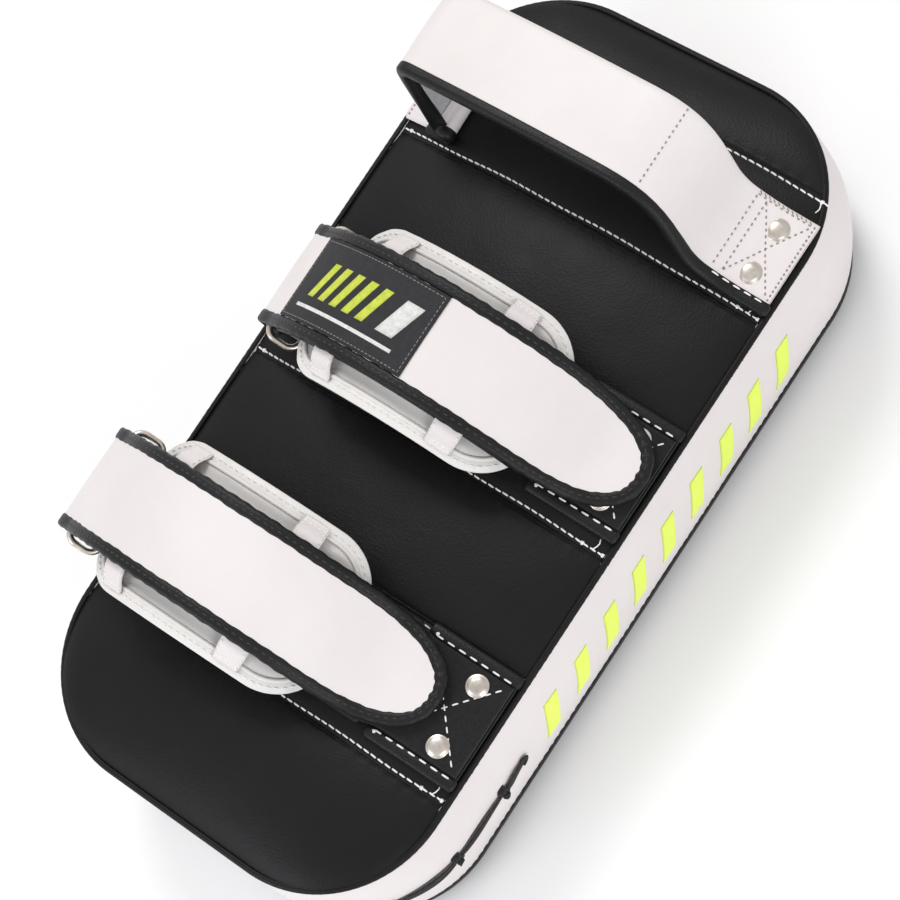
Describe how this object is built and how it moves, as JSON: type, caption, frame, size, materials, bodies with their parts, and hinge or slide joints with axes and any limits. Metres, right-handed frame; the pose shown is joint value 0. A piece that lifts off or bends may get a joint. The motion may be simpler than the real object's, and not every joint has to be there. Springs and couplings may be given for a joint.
{
  "type": "thai pad",
  "caption": "Foam-filled martial arts kick pad with crowned back, arched hand grip, padded forearm straps with hook-and-loop closure, steel rings and laced filling slit.",
  "frame": {"origin": "centre of the flat striking face, which is the face the pad lies on", "axes": "+X across the pad to its laced side, +Y along its length towards the hand grip end, +Z out of its back, away from the striking face"},
  "size_m": [0.2185, 0.39, 0.1375],
  "materials": {
    "black_leather": "semi-matte coated leather",
    "white_leather": "semi-matte coated leather",
    "cushion_vinyl": "soft satin vinyl",
    "foam": "closed-cell foam",
    "nickel_steel": "nickel plated",
    "black_webbing": "flat woven",
    "black_binding": "soft folded binding tape",
    "loop_fabric": "fuzzy loop pile",
    "woven_label": null,
    "lime_print": "screen printed",
    "grey_lining": "smooth lining"
  },
  "bodies": {
    "pad": {"striking_cover": "black_leather", "side_wall": "white_leather", "soft_strike_foam": "foam", "firm_core_foam": "foam", "back_foam": "foam", "back_panel_top": "black_leather", "back_panel_upper": "black_leather", "back_panel_lower": "black_leather", "back_panel_bottom": "black_leather", "cross_band_top": "black_leather", "cross_band_middle": "black_leather", "cross_band_bottom": "black_leather", "wall_chevrons": "lime_print", "lace_placket": "black_webbing", "lace": "black_webbing", "lace_eyelets": "black_webbing", "handle_anchor_left": "white_leather", "handle_anchor_right": "white_leather", "handle_rivets": "nickel_steel", "handle_feet": "white_leather", "upper_anchor_tab": "white_leather", "upper_strap_anchor": "loop_fabric", "upper_inner_strap": "loop_fabric", "upper_rivets": "nickel_steel", "upper_strap_fold": "white_leather", "lower_anchor_tab": "white_leather", "lower_strap_anchor": "loop_fabric", "lower_inner_strap": "loop_fabric", "lower_rivets": "nickel_steel", "lower_strap_fold": "white_leather"},
    "handle": {"handle_shell": "white_leather", "handle_foam": "foam", "handle_lining": "grey_lining", "handle_binding": "black_binding"},
    "upper_ring": {"upper_ring": "nickel_steel"},
    "upper_strap": {"upper_outer_strap": "white_leather", "upper_strap_binding": "black_binding", "upper_hook_patch": "loop_fabric", "upper_label": "woven_label"},
    "upper_cushion": {"upper_cushion_cover": "cushion_vinyl", "upper_cushion_foam": "foam", "upper_cushion_lining": "black_webbing", "upper_keepers": "white_leather"},
    "lower_ring": {"lower_ring": "nickel_steel"},
    "lower_strap": {"lower_outer_strap": "white_leather", "lower_strap_binding": "black_binding", "lower_hook_patch": "loop_fabric"},
    "lower_cushion": {"lower_cushion_cover": "cushion_vinyl", "lower_cushion_foam": "foam", "lower_cushion_lining": "black_webbing", "lower_keepers": "white_leather"}
  },
  "joints": [
    {"name": "handle_lean", "type": "hinge", "parent": "pad", "child": "handle", "pos_m": [-0.003, 0.135, 0.089], "axis": [1, 0, 0], "range_deg": [-14, 14], "stiffness_Nm_per_rad": 1.2, "deforming": ["handle_feet"]},
    {"name": "upper_strap_peel", "type": "hinge", "parent": "pad", "child": "upper_strap", "pos_m": [-0.08562, 0.024, 0.09723], "axis": [0, -1, 0], "range_deg": [0, 105], "deforming": ["upper_strap_fold"]},
    {"name": "upper_ring_swing", "type": "hinge", "parent": "pad", "child": "upper_ring", "pos_m": [-0.07237, 0.024, 0.09019], "axis": [0, 1, 0], "range_deg": [-6, 6]},
    {"name": "upper_cushion_slide", "type": "hinge", "parent": "pad", "child": "upper_cushion", "pos_m": [-0.01, 0.024, 0.036], "axis": [0, 1, 0], "range_deg": [-3, 3]},
    {"name": "lower_strap_peel", "type": "hinge", "parent": "pad", "child": "lower_strap", "pos_m": [-0.11162, -0.096, 0.09723], "axis": [0, -1, 0], "range_deg": [0, 105], "deforming": ["lower_strap_fold"]},
    {"name": "lower_ring_swing", "type": "hinge", "parent": "pad", "child": "lower_ring", "pos_m": [-0.09837, -0.096, 0.09019], "axis": [0, 1, 0], "range_deg": [-6, 6]},
    {"name": "lower_cushion_slide", "type": "hinge", "parent": "pad", "child": "lower_cushion", "pos_m": [-0.036, -0.096, 0.036], "axis": [0, 1, 0], "range_deg": [-3, 3]}
  ]
}
